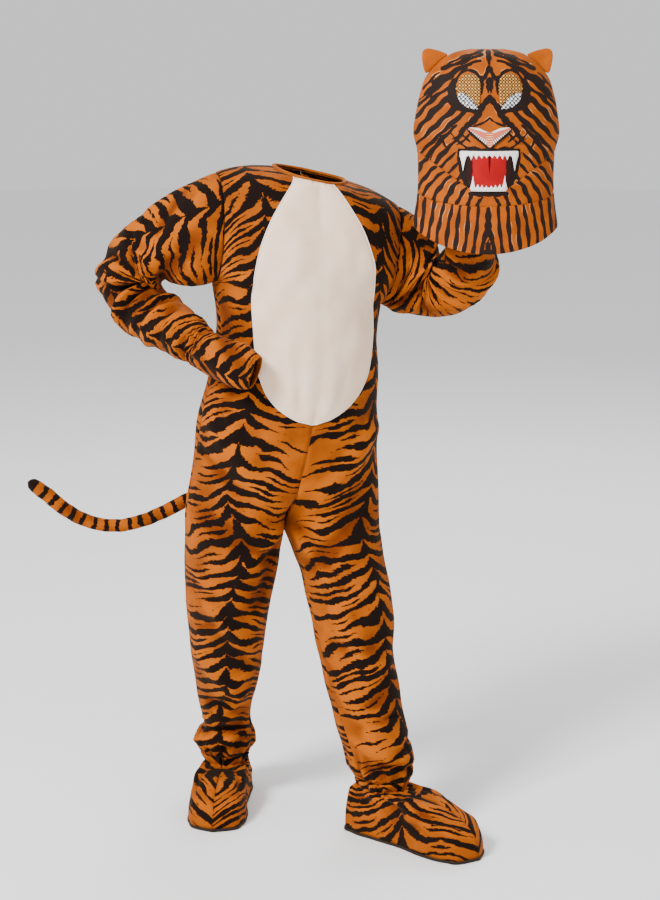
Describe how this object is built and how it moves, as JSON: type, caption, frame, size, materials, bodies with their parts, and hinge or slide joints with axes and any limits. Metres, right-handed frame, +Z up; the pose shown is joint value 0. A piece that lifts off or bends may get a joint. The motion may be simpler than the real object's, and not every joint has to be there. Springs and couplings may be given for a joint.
{
  "type": "tiger costume",
  "caption": "Child's full-body plush tiger costume in a worn pose: jumpsuit with tail and pale belly, hand covers, boot covers, and a hood mask held up on the left hand.",
  "frame": {"origin": "middle of the neck opening, where the costume hangs from the wearer", "axes": "+Z up along the wearer, -Y to the wearer's front, +X to the wearer's left; the soles stand on z = -0.994"},
  "size_m": [0.7977, 0.3748, 1.1782],
  "materials": {
    "plush": "short orange plush printed with dark brown stripes",
    "belly": "short cream plush",
    "binding": "plain orange knit edge",
    "hood_cloth": "smooth printed orange cloth on thin foam",
    "eye_mesh": "pale printed see-through mesh",
    "eyelid_mesh": "tan mesh",
    "nose": "smooth pink cloth",
    "mouth": "smooth red cloth",
    "teeth": "smooth white cloth",
    "sole": "black non-slip cloth"
  },
  "bodies": {
    "root": {"front_right": "plush", "front_left": "plush", "back_right": "plush", "back_left": "plush", "belly_panel": "belly", "back_placket": "plush", "neck_binding": "binding", "sleeve_right": "plush", "sleeve_left": "plush", "paw_right": "plush", "paw_left": "plush", "tail": "plush", "boot_right_upper_inner": "plush", "boot_right_upper_outer": "plush", "boot_right_sole": "sole", "boot_left_upper_inner": "plush", "boot_left_upper_outer": "plush", "boot_left_sole": "sole", "hood_face": "hood_cloth", "hood_jaw": "hood_cloth", "hood_skirt": "hood_cloth", "hood_back": "hood_cloth", "hood_ear_right": "hood_cloth", "hood_ear_left": "hood_cloth", "hood_eye_right": "eye_mesh", "hood_eye_left": "eye_mesh", "hood_eyelid_right": "eyelid_mesh", "hood_eyelid_left": "eyelid_mesh", "hood_nose": "nose", "hood_mouth": "mouth", "hood_teeth_upper": "teeth", "hood_teeth_lower": "teeth"}
  },
  "joints": []
}
